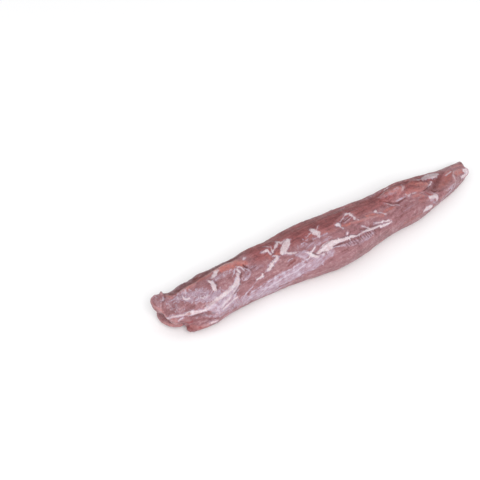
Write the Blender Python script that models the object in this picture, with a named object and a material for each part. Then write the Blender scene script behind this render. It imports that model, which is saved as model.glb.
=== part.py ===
# A whole raw pork tenderloin, trimmed, lying on the flat of its underside.
# Metres, +Z up. +X runs from the thick cut end, the head, to the thin end, the tail.
# -Y is the near side, which carries the silver skin. The origin is the middle of the underside.
#
# A place on the loin is given as (along, around): millimetres from the head's end plane, and
# degrees round the section from the near side (0) over the top (90) to the far side (180).

import math
from collections import namedtuple

import bpy
import bmesh
import numpy as np
from mathutils import Vector, noise

MM = 0.001

# Driving sizes, in millimetres.
BODY_HEAD = 12.5
BODY_TAIL = 357.5
HEAD_ROUNDING = 6.0       # length over which the head closes to its blunt end
TAIL_ROUNDING = 5.0
TAIL_SLANT = 0.42         # how much further out the tail's end is on the far side, for each mm across
TAIL_SLANT_RUN = 25.0     # and the length over which that slant sets in
UPPER_FULLNESS = 2.15     # superellipse power of the section above its middle
LOWER_FULLNESS = 2.7      # and below it, where the meat spreads on the table
SINK = 1.1                # how much of the rounded underside is pressed flat
BODY_RINGS = 122
BODY_SEGMENTS = 40
UNDERSIDE_SPREAD = 0.42   # how much further apart the lengthwise edges are below than on top
LAYER_SEGMENTS = 16
FLESH_UNEVENNESS = 0.8    # height of the random swell of soft flesh
FLESH_SWELL = 24.0        # and its usual distance from hill to hill
FADE = 14.0               # length over which a seam or a torn edge dies out at its ends

# The body: width, thickness, the sideways place of its middle and the height of its underside,
# which is raised at the head, where the upper flap overhangs.
Station = namedtuple("Station", "along width thickness sway under")
STATIONS = (
    Station(12, 28, 12, 2.5, 13.5),
    Station(24, 33, 15, 3.5, 12.5),
    Station(32, 37, 26, 5, 1),
    Station(38, 39.5, 28, 5, 0),
    Station(50, 45.5, 30, 1, 0),
    Station(62, 44.5, 31, 2, 0),
    Station(90, 43.5, 31, 3, 0),
    Station(125, 47, 33, 2.5, 0),
    Station(158, 52.5, 36.5, 0, 0),
    Station(176, 54.5, 38, -1.8, 0),
    Station(196, 52.5, 37.5, -2, 0),
    Station(216, 48, 35, 0, 0),
    Station(240, 42.5, 31.5, 2, 0),
    Station(275, 42.5, 31, 4, 0),
    Station(300, 35.4, 26, 6.8, 0),
    Station(325, 27.4, 20, 10.1, 0),
    Station(345, 22, 15.5, 14, 0),
    Station(357, 19.2, 13, 16.6, 0),
)

# The layers of the cut head, and the tag of fat on the tail: a spine of knots with flat oval
# sections. The free end comes last. Its slant is how much further in it is for each mm across.
Layer = namedtuple("Layer", "name rounding slant knots")
Knot = namedtuple("Knot", "along y z width thickness roll")
LAYERS = (
    Layer("end_knob", 5, -0.1, (
        Knot(36, 11, 16, 12, 8, 10),
        Knot(24, 12, 19.5, 17, 12, 10),
        Knot(16, 12.5, 21.5, 18.5, 13, 12),
        Knot(7.6, 12.3, 22, 17.6, 13.4, 14),
    )),
    Layer("under_flap", 7, -0.28, (
        Knot(72, 3, 11, 30, 14, 0),
        Knot(42, 4.2, 9, 29.5, 13, 0),
        Knot(25, 6, 8.4, 25.4, 9.6, 0),
        Knot(11.6, 5.2, 6.6, 25.6, 8.8, 0),
    )),
    Layer("near_lobe", 4, 0.0, (
        Knot(100, -8, 13, 15.5, 12, -22),
        Knot(72, -11.2, 10, 16.5, 12, -18),
        Knot(50, -13.6, 8, 16.2, 10.6, -12),
        Knot(26, -11.8, 6.6, 12.4, 8.5, -8),
    )),
    Layer("tail_tag", 2, 0.0, (
        Knot(343, 12.6, 8.4, 10, 6, 30),
        Knot(350.5, 11.2, 8.6, 11.4, 4.6, 38),
        Knot(354, 10, 8.8, 8, 3.6, 40),
        Knot(356.4, 9.2, 9, 3.6, 2.6, 40),
    )),
)

# Swellings: a smooth hill (or, with a negative height, a hollow) on the surface.
Mound = namedtuple("Mound", "along around length width height tilt")
MOUNDS = (
    Mound(93, 84, 5, 5, -1.8, 0),
    Mound(128, 66, 16, 14, 1.0, 20),
    Mound(186, 14, 36, 14, 1.0, 0),
    Mound(195, 86, 10, 5, -1.8, 25),
    Mound(106, 130, 14, 11, 1.8, 0),
    Mound(258, 98, 13, 7, 2.4, 10),
    Mound(276, 122, 12, 8, 0.9, 0),
    Mound(289, 84, 10, 6, 2.2, 0),
    Mound(315, 67, 18, 7, -4.4, 18),
    Mound(57, 140, 7, 8, 1.2, 0),
    Mound(150, 165, 40, 16, 1.4, 8),
    Mound(235, 158, 30, 13, 1.2, -8),
    Mound(70, 168, 24, 12, 1.2, 12),
)

# Seams between muscles: a valley along a path, or a raised fold where the depth is negative.
Seam = namedtuple("Seam", "path width depth")
SEAMS = (
    Seam(((132, 40), (160, 49), (182, 51), (206, 47), (231, 39), (246, 33)), 4.0, 1.8),
    Seam(((238, 98), (248, 76), (258, 66), (270, 62), (288, 60), (300, 56)), 3.8, 2.6),
    Seam(((348, 76), (330, 46), (312, 20), (298, 8)), 3.6, -2.4),
    Seam(((14, 40), (19, 62), (23, 92), (31, 124)), 3.0, 2.2),
    Seam(((60, 200), (110, 188), (170, 192), (240, 178), (300, 172)), 5.0, 1.4),
    Seam(((118, 140), (150, 130), (190, 134), (230, 126)), 4.5, 1.3),
)

# Torn edges: the surface is lifted on the left of the path, seen from outside along it.
Ledge = namedtuple("Ledge", "path height edge run")
LEDGES = (
    Ledge(((20, 26), (42, 38), (57, 46), (73, 58), (83, 71), (91, 88), (97, 112)), 1.8, 4.0, 15.0),
    Ledge(((97, 112), (81, 122), (58, 114), (42, 110), (24, 108)), 1.8, 4.0, 15.0),
    Ledge(((248, 68), (258, 76), (276, 96), (298, 104)), 1.4, 3.0, 8.0),
)


def smooth_step(t):
    t = np.clip(t, 0, 1)
    return t * t * (3 - 2 * t)


def smooth_curve(at, values, wanted):
    """A curve through the values with no kinks, read at each wanted place (cubic Hermite)."""
    at, values, wanted = (np.asarray(a, float) for a in (at, values, wanted))
    if at[0] > at[-1]:
        at, values = at[::-1], values[::-1]
    slopes = np.gradient(values, at)
    i = np.clip(np.searchsorted(at, wanted) - 1, 0, len(at) - 2)
    span = at[i + 1] - at[i]
    t = np.clip((wanted - at[i]) / span, 0, 1)
    start = (1 + 2 * t) * (1 - t) ** 2 * values[i] + t * (1 - t) ** 2 * span * slopes[i]
    end = t * t * (3 - 2 * t) * values[i + 1] + t * t * (t - 1) * span * slopes[i + 1]
    return start + end


def station_values(along, field):
    return smooth_curve([s.along for s in STATIONS], [getattr(s, field) for s in STATIONS], along)


def end_fullness(distance, rounding):
    """How full the section is this far inside a rounded end: 0 at the end, 1 from the rounding on."""
    inside = np.clip(distance / rounding, 0, 1)
    return np.sqrt(1 - (1 - inside) ** 2.4)


def mean_radius(along):
    return (station_values(along, "width") + station_values(along, "thickness")) / 4


def wrapped(degrees):
    return (np.asarray(degrees) + 180) % 360 - 180


def from_path(along, around, path):
    """Distance in mm to a path on the surface, its side (1 on the left) and the share left by fading."""
    radius = np.maximum(mean_radius(along), 6)
    nearest = np.full(np.shape(along), 1e9)
    side = np.zeros(np.shape(along))
    reached = np.zeros(np.shape(along))
    passed = 0.0
    for (a0, r0), (a1, r1) in zip(path, path[1:]):
        x0, y0 = a0 - along, np.radians(wrapped(r0 - around)) * radius
        dx, dy = a1 - a0, math.radians(r1 - r0) * radius
        length = np.hypot(dx, dy)
        t = np.clip(-(x0 * dx + y0 * dy) / length ** 2, 0, 1)
        distance = np.hypot(x0 + t * dx, y0 + t * dy)
        closer = distance < nearest
        side = np.where(closer, np.sign(dy * x0 - dx * y0), side)
        reached = np.where(closer, passed + t * length, reached)
        nearest = np.minimum(nearest, distance)
        passed = passed + length
    return nearest, side, smooth_step(np.minimum(reached, passed - reached) / FADE)


def mound_height(along, around, mound):
    radius = np.maximum(mean_radius(along), 6)
    u = along - mound.along
    v = np.radians(wrapped(around - mound.around)) * radius
    turn = math.radians(mound.tilt)
    across = u * math.cos(turn) + v * math.sin(turn)
    up = v * math.cos(turn) - u * math.sin(turn)
    return mound.height * np.exp(-(across / mound.length) ** 2 - (up / mound.width) ** 2)


def relief(along, around):
    """Height in mm of the surface above the plain section."""
    height = np.zeros(np.shape(along))
    for mound in MOUNDS:
        height += mound_height(along, around, mound)
    for seam in SEAMS:
        distance, _, kept = from_path(along, around, seam.path)
        height -= seam.depth * kept * np.exp(-(distance / seam.width) ** 2)
    for ledge in LEDGES:
        distance, side, kept = from_path(along, around, ledge.path)
        lifted = smooth_step(0.5 + side * distance / ledge.edge) * np.exp(-(distance / ledge.run) ** 2)
        height += ledge.height * kept * lifted
    return height


def closed_loft(name, rings):
    """A mesh object from rings of points, in millimetres, closed by a fan at each end."""
    mesh = bpy.data.meshes.new(name)
    shape = bmesh.new()
    loops = [[shape.verts.new(Vector(p) * MM) for p in ring] for ring in rings]
    for ring, following in zip(loops, loops[1:]):
        for k, vert in enumerate(ring):
            after = (k + 1) % len(ring)
            shape.faces.new((vert, ring[after], following[after], following[k]))
    for ring in (loops[0], loops[-1]):
        middle = shape.verts.new(sum((v.co for v in ring), Vector()) / len(ring))
        for k, vert in enumerate(ring):
            shape.faces.new((vert, ring[(k + 1) % len(ring)], middle))
    bmesh.ops.recalc_face_normals(shape, faces=shape.faces)
    shape.to_mesh(mesh)
    shape.free()
    made = bpy.data.objects.new(name, mesh)
    bpy.context.scene.collection.objects.link(made)
    return made


def swell(point):
    """The random unevenness of soft flesh at a point, in mm."""
    return FLESH_UNEVENNESS * noise.noise(Vector(point) / FLESH_SWELL)


def body_places():
    """Distances along the body, closer together where its ends round off."""
    share = np.linspace(0, 1, BODY_RINGS)
    eased = share - 0.6 * np.sin(2 * math.pi * share) / (2 * math.pi)
    first, last = BODY_HEAD + 0.2, BODY_TAIL - 0.2
    return first + eased * (last - first)


def section_angles():
    """Angles round the body in radians, closer together over the top than on the underside."""
    even = np.linspace(-math.pi, math.pi, BODY_SEGMENTS, endpoint=False)
    return even - UNDERSIDE_SPREAD * np.sin(even - math.pi / 2)


def tenderloin_body():
    turn = section_angles()
    around = np.degrees(turn)
    across, up = -np.cos(turn), np.sin(turn)
    fullness = np.where(up > 0, UPPER_FULLNESS, LOWER_FULLNESS)
    corner = (np.abs(across) ** fullness + np.abs(up) ** fullness) ** (-1 / fullness)
    shown = smooth_step((up + 0.95) / 0.5)
    rings = []
    for along in body_places():
        full = min(
            end_fullness(along - BODY_HEAD, HEAD_ROUNDING),
            end_fullness(BODY_TAIL - along, TAIL_ROUNDING),
        )
        half_width = station_values(along, "width") / 2
        half_thick = station_values(along, "thickness") / 2
        lift = relief(np.full(BODY_SEGMENTS, along), around) * shown
        y = station_values(along, "sway") + across * full * (corner * half_width + lift)
        middle = station_values(along, "under") + half_thick - SINK
        z = middle + up * full * (corner * half_thick + lift)
        slant = TAIL_SLANT * smooth_step((along - BODY_TAIL) / TAIL_SLANT_RUN + 1)
        x = along + slant * (y - station_values(along, "sway"))
        ring = [(px, py, max(pz + swell((px, py, pz)), 0)) for px, py, pz in zip(x, y, z)]
        rings.append(ring)
    return closed_loft("tenderloin", rings)


def layer_rings(layer):
    """Flat oval sections along a layer's spine, the last of them closing its free end."""
    knots = layer.knots
    at = [k.along for k in knots]
    free_end, root = at[-1], at[0]
    count = max(10, round(abs(root - free_end) / 5))
    share = np.linspace(0, 1, count)
    places = root + (free_end - root) * (1 - (1 - share) ** 1.6)
    rings = []
    for along, near_end in zip(places, share):
        y, z, width, thickness, roll = (
            float(smooth_curve(at, [getattr(k, field) for k in knots], along))
            for field in ("y", "z", "width", "thickness", "roll")
        )
        full = float(end_fullness(abs(along - free_end) + 0.15, layer.rounding))
        tilt = math.radians(roll)
        ring = []
        for k in range(LAYER_SEGMENTS):
            turn = 2 * math.pi * k / LAYER_SEGMENTS
            out, up = full * width / 2 * math.cos(turn), full * thickness / 2 * math.sin(turn)
            py = y + out * math.cos(tilt) - up * math.sin(tilt)
            pz = z + out * math.sin(tilt) + up * math.cos(tilt)
            px = along + layer.slant * (py - y) * near_end
            ring.append((px, py, max(pz + swell((px, py, pz)), 0.6)))
        rings.append(ring)
    return rings


def fuse(body, extras):
    """One Boolean union of the body with the layers, applied, and the layers then removed."""
    group = bpy.data.collections.new("layers")
    bpy.context.scene.collection.children.link(group)
    for extra in extras:
        bpy.context.scene.collection.objects.unlink(extra)
        group.objects.link(extra)
    union = body.modifiers.new("join_layers", "BOOLEAN")
    union.operation = "UNION"
    union.operand_type = "COLLECTION"
    union.collection = group
    union.solver = "EXACT"
    bpy.context.view_layer.update()
    graph = bpy.context.evaluated_depsgraph_get()
    fused = bpy.data.meshes.new_from_object(body.evaluated_get(graph))
    body.modifiers.clear()
    body.data = fused
    for extra in extras:
        bpy.data.objects.remove(extra)
    bpy.data.collections.remove(group)


def rest_on_origin(body):
    """Moves the mesh so that the middle of its underside is the origin."""
    points = np.array([v.co for v in body.data.vertices])
    low, high = points.min(axis=0), points.max(axis=0)
    middle = (low + high) / 2
    for vert in body.data.vertices:
        vert.co -= Vector((middle[0], middle[1], low[2]))


def raw_flesh():
    material = bpy.data.materials.new("raw_pork")
    material.use_nodes = True
    shader = material.node_tree.nodes["Principled BSDF"]
    shader.inputs["Base Color"].default_value = (0.36, 0.17, 0.18, 1)
    shader.inputs["Roughness"].default_value = 0.42
    shader.inputs["Metallic"].default_value = 0
    return material


def build():
    for old in list(bpy.data.objects):
        bpy.data.objects.remove(old)
    body = tenderloin_body()
    layers = [closed_loft(layer.name, layer_rings(layer)) for layer in LAYERS]
    fuse(body, layers)
    rest_on_origin(body)
    body.data.materials.clear()
    body.data.materials.append(raw_flesh())
    body.data.shade_smooth()


build()
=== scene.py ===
"""The looks of a whole raw pork tenderloin: moist flesh under silver skin, with strands of fat.

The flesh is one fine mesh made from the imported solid. Its details are brush strokes: a stroke is a
path over the surface that colours the flesh around it and raises or sinks it. A path is given in
pixels of the photograph where it shows there, and as places on the loin where it doesn't.
Lengths are in millimetres unless a name says otherwise. A place on the loin is (along, around):
millimetres from the head's end, and degrees round the section from the near side (0) over the
top (90) to the far side (180).
"""

import math
import random
from collections import namedtuple

import bpy
import numpy as np
from mathutils import Matrix, Vector, noise
from mathutils.bvhtree import BVHTree


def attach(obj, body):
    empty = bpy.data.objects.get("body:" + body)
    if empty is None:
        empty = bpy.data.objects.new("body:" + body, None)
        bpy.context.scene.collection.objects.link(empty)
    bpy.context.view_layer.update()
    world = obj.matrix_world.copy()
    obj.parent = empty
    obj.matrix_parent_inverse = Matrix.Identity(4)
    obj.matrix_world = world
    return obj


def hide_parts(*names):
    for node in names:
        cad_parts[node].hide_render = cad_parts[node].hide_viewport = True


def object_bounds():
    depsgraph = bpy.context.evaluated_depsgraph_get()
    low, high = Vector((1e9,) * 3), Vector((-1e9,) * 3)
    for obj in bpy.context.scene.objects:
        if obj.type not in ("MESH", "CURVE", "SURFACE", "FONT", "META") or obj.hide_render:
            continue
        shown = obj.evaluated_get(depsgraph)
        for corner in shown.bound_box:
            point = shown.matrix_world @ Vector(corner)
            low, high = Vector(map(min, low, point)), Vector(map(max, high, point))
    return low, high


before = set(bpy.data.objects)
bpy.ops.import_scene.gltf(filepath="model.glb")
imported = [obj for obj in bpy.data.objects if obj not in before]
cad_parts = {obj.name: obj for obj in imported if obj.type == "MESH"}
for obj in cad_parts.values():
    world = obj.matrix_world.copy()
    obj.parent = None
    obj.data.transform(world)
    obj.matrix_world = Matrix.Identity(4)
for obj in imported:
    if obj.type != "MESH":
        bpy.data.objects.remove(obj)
CAD_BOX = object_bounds()

MM = 0.001

# The camera stands where the photograph's did.
AZIMUTH = -33.0  # degrees
ELEVATION = 45.0
LENS = 85.0
SENSOR = 36.0
PIXELS = 480  # the picture's side
DISTANCE = 1014.6
AIM = Vector((0, 0, 20))
AIM_PIXEL = (331.2, 237.8)

# The flesh mesh.
VOXEL = 0.75
SMOOTHING_ROUNDS = 26
SMOOTHING_OUT = 0.5
SMOOTHING_BACK = -0.52
PATH_STEP = 1.5  # pixels, or mm along a hidden path
THIN_END = 0.7  # a hair's width at its ends, as a share of its width
SLICE = 4.0  # thickness of the slices that give the loin's middle line

# How far the fibres of the flesh and of the silver skin climb round the loin, as mm around for
# each mm along, at these places along it.
FLESH_SLANT = ((0, 0.1), (80, 0.16), (180, 0.06), (350, 0.0))
SKIN_SLANT = ((0, 0.2), (60, 0.36), (150, 0.3), (210, 0.08), (350, 0.04))
MEAN_RADIUS = 20.0

Stroke = namedtuple("Stroke", "path soft ragged lift cover")
Edge = namedtuple("Edge", "rough patchy")


def stroke(*path, soft=0.9, ragged=0.5, lift=0.0, cover=1.0):
    """A brush stroke. Each point of its path is two coordinates and the stroke's width there."""
    return Stroke(path, soft, ragged, lift, cover)


def thin(*path, wide=1.2, **looks):
    """A hair, a strand or a crack: a stroke of one width that narrows at both ends."""
    ends = (0, len(path) - 1)
    return stroke(*((x, y, wide * (THIN_END if k in ends else 1)) for k, (x, y) in enumerate(path)), **looks)


FAT = {
    "ribbon at cut": stroke((168, 318.3, 0.7), (172, 317, 0.9), (185, 314.8, 1.5), (188, 313.7, 3),
        (192, 313, 3.9), (197, 312.2, 3.6), (205.5, 310, 1.4), (210, 307.6, 1), lift=0.6),
    "band of head": stroke((205, 308, 1.6), (224, 295, 4), (236, 284, 4), (238, 279, 3), (238, 274, 2.6),
        soft=1.6, ragged=0.8, lift=0.4, cover=0.68),
    "band's second strand": stroke((221.6, 307.6, 1.4), (229.4, 298.4, 2.6), (239.6, 283.6, 1.6), soft=1.2,
        ragged=0.6, lift=0.3, cover=0.6),
    "band's third strand": thin((223.2, 309.2), (233.6, 299.6), (238.6, 296.4), wide=1.6, lift=0.3,
        cover=0.75),
    "blob under ridge": stroke((212, 278, 2.4), (214, 276, 4), (215, 273, 4), (218, 271, 3), soft=1.6,
        ragged=1.3, lift=0.2, cover=0.6),
    "finger": stroke((208.8, 281.4, 2), (211.8, 282.8, 3.2), (213.8, 286, 3.8), (215, 289.8, 3.2), lift=0.7,
        cover=0.9),
    "curl": thin((237.2, 267.6), (239.5, 267.1), (241.9, 268.6), (244.2, 271.2), wide=1.5, soft=0.7,
        ragged=0.2, lift=0.9),
    "knot under curl": stroke((237.4, 269.8, 1.8), (239.6, 272, 2.4), lift=0.5),
    "fleck at ridge": stroke((243.5, 259.4, 1.2), (244.1, 258.2, 1.8), lift=0.4),
    "arrow": stroke((261.4, 252.9, 0.7), (266.8, 250.6, 3.4), (268.4, 251.4, 1.6), lift=0.5, ragged=0.3),
    "arrow's barb": thin((263.9, 246.8), (270.6, 246.9), (272.9, 252.6), wide=1.5, ragged=0.6, cover=0.62),
    "arrow's shaft": thin((268.4, 251.8), (270.2, 253.6), (271.6, 255), lift=0.3, cover=0.85),
    "star": stroke((272.9, 251.4, 1.2), (276.4, 245, 2.8), (277.4, 242.4, 2), ragged=0.7, cover=0.66),
    "star's points": stroke((275.1, 241.4, 0.9), (278.4, 241.8, 1.8), (280.4, 243, 2.2), (286.4, 239.2, 1),
        ragged=0.6, cover=0.66),
    "leaf": stroke((281.8, 253.4, 3), (283.4, 250, 5.6), (285, 246.8, 6.8), (286.6, 243.2, 6.6),
        (287.6, 240.6, 4.6), soft=1.2, ragged=0.7, lift=0.4, cover=0.74),
    "leaf's low side": stroke((281.8, 253.2, 1.6), (283.6, 250.8, 3.6), (285.6, 248, 3.6),
        (289.4, 241.6, 1.2), lift=0.3),
    "torn streak": stroke((273.6, 255.8, 1.2), (276, 256.4, 2.4), (278.6, 256.8, 1.6), (276.4, 259.6, 2.8),
        (274, 262, 2.4), (272, 265, 3.8), (270.2, 267.4, 2.8), (268, 269.6, 1.6), (266.6, 270.8, 0.7),
        lift=0.5, ragged=1.5),
    "streak's end": stroke((262.2, 274.2, 1), (262, 276.2, 2.6), (259.4, 277.9, 2.2), (257, 279.6, 0.8),
        lift=0.3, cover=0.8),
    "bar": stroke((285.4, 253.7, 1.4), (288.9, 253.2, 1.8), (292, 253.5, 1.5), (295.2, 252.8, 1.8),
        (297, 251.8, 1), ragged=1, lift=0.3, cover=0.9),
    "burst": stroke((310.4, 229.6, 2.4), (313.4, 231.2, 4.8), (316.4, 232.4, 5.6), (318, 234.6, 3.4),
        (319, 236.6, 1.4), ragged=1.8, lift=0.3, cover=0.8),
    "burst's foot": thin((312.4, 231.6), (309.6, 234.2), (306, 237.6), wide=0.9, ragged=0.3, cover=0.7),
    "burst's hair a": thin((316.6, 230), (317.6, 226.4), wide=1.5, ragged=0.2, cover=0.75),
    "cross": thin((315.2, 247), (312.9, 250.4), (308.6, 259), wide=1.3, soft=0.7, ragged=0.2, lift=0.5),
    "cross's arm": stroke((305.3, 252.4, 1.2), (308.6, 253.2, 1.8), (311.6, 255, 3), (315, 256, 3.8),
        (318.4, 256.8, 2.6), ragged=0.9, lift=0.2, cover=0.7),
    "ribbon, thick part": stroke((317.6, 253.8, 1.6), (320.8, 251.1, 3.4), (324.5, 248.3, 5.8),
        (328.5, 246, 6.8), (332.4, 243.6, 6.2), (336.3, 241.6, 4.2), (340.5, 240.4, 3.2), (345, 239.2, 3.2),
        (350, 237.6, 2.4), soft=0.8, ragged=1.5, lift=0.7),
    "ribbon's loose limb": thin((326.8, 249.6), (327.5, 253.2), (328.2, 255.2), wide=1.1, cover=0.7),
    "ribbon's lower limb": thin((319.2, 254.9), (322.4, 254.2), (325, 253.6), ragged=0.4, cover=0.72),
    "ribbon, middle": stroke((350, 237.4, 2.2), (352.6, 236.3, 3), (357, 236, 0.9), (364, 231.4, 1.3),
        (369, 229.4, 2.4), (372.4, 229, 2), (376, 226.8, 1.1), soft=0.7, ragged=0.6, lift=0.6),
    "ribbon, right end": stroke((376, 226.8, 1.1), (379, 225.8, 1.6), (381.6, 226, 2.6), (389.4, 223, 1.4),
        (391.4, 221.4, 0.7), soft=0.7, lift=0.5),
    "ribbon's branch": thin((362, 226.1), (367, 227.5), (369, 228.6), wide=0.9, ragged=0.3, cover=0.85),
    "ribbon's feather": thin((374.6, 223.1), (382, 222.3), (383.2, 220.9), (385.8, 221.3), (388.9, 220.5),
        (390.8, 221.8), lift=0.2, cover=0.82),
    "hair by ribbon": thin((347.4, 232.8), (347, 234.8), ragged=0.2, lift=0.3),
    "pocket's crown": stroke((345.2, 214.6, 2), (347.2, 213.8, 3), (349.4, 214, 2.8), (351.4, 215.4, 2),
        lift=0.3, ragged=0.9, cover=0.8),
    "pocket's right rim": stroke((350.6, 215, 2), (355, 218.8, 2.4), (357.8, 219.9, 1.4), ragged=1.1,
        lift=0.3, cover=0.62),
    "pocket's left rim": thin((345, 215.2), (342.4, 218.8), (339.9, 222.2), wide=0.8, ragged=0.2, lift=0.4,
        cover=0.7),
    "pocket's foot": stroke((336, 225.6, 1.6), (338.4, 224.2, 3), (340.6, 227.2, 2), (343, 228.4, 1.2),
        lift=0.3, ragged=0.7, cover=0.8),
    "dot": stroke((375, 211.6, 2.4), (375.5, 211.2, 2.4), ragged=0.3, lift=0.5, cover=0.85),
    "rim of low tear": thin((376.9, 212.8), (380.4, 212.4), (385.8, 214.4), wide=1.1, ragged=0.2, lift=0.3,
        cover=0.66),
    "flap's upper rim": thin((384.5, 203.3), (393, 205.4), (397, 204.8), (399, 205.6), ragged=0.4, lift=0.3,
        cover=0.6),
    "lip of notch": stroke((405.6, 194.6, 1.6), (408.4, 196.4, 2), (411, 193.8, 1.6), (416, 192.6, 1.2),
        ragged=0.9, cover=0.55),
    "fat on top edge": stroke((414.4, 180.2, 1), (420.5, 179.4, 2.2), (423, 180.4, 1.2), ragged=0.6,
        cover=0.72),
    "patch by valley": stroke((423, 179, 3), (427, 177, 6), (431, 176, 8), (434, 175, 6), (437, 174, 2.4),
        soft=2, ragged=1.2, cover=1.25),
    "spur at valley": thin((431.3, 181.6), (430.2, 184.4), (428.4, 186.6), wide=1.4, ragged=0.3, lift=0.4,
        cover=0.9),
    "fat below crevice": stroke((430, 197.5, 3), (433, 196, 5), (436, 195.5, 5), (437.4, 201, 1.6), soft=2.4,
        ragged=0.8, cover=0.8),
    "oval": stroke((424.4, 210.6, 2.8), (427.2, 208.8, 5), (430, 207.6, 5), (431.8, 206.9, 3), soft=1.2,
        ragged=0.4, cover=0.8),
    "hair in valley": thin((446, 175.4), (448.8, 173.4), (451, 171.8), ragged=0.2, cover=0.8),
    "valley's right rim": stroke((453.6, 172.4, 1), (452.9, 175.6, 1.5), (454, 178.6, 2), (456, 181.4, 2),
        (454.6, 185.2, 1.6), ragged=0.7, lift=0.3, cover=0.5),
    "tag": stroke((463.8, 170.4, 4), (465.8, 171.2, 6), (469.2, 171.8, 3.4), soft=1, cover=0.84),
    "tag's foot": stroke((466.4, 173.4, 4), (464.6, 175.8, 3.2), (461.4, 177.2, 2.4), cover=0.84),
    # Painted highlight: the white glint on a bit of fat at the near lobe's low edge.
    "highlight on near lobe, painted": stroke((211, 322.4, 1.4), (214.6, 321.4, 2.6), (217.6, 319.8, 1.4), cover=0.85),
    "pocket's fibre a": thin((342.4, 222), (347.6, 217.4), (349.6, 215.6), wide=0.9, ragged=0.3, lift=0.3,
        cover=0.6),
    "pocket's fibre b": thin((344.4, 223), (349.4, 219), (351.8, 216.8), wide=0.9, ragged=0.3, lift=0.3,
        cover=0.6),
    "torn piece's right edge": stroke((401.6, 184.8, 1.6), (402.6, 188, 2.4), (401.4, 191.4, 1.6), soft=1.6,
        cover=0.5),
    "torn piece's left edge": stroke((379, 198, 1.2), (382, 194.6, 2), (386, 192, 1.4), soft=1.6, ragged=0.9,
        cover=0.55),
    "membrane fold a": thin((182.6, 296.4), (184.4, 299.4), (187.6, 299.6), (190, 298.2), wide=1.4, lift=0.3,
        cover=0.85),
    "membrane fold e": thin((200, 297), (203, 298.4), (205.4, 296.2), cover=0.7),
    "torn piece's pale top": stroke((386, 193, 3), (392, 191, 5), (397, 189, 4), soft=3, ragged=1,
        cover=0.34),
}

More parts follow.
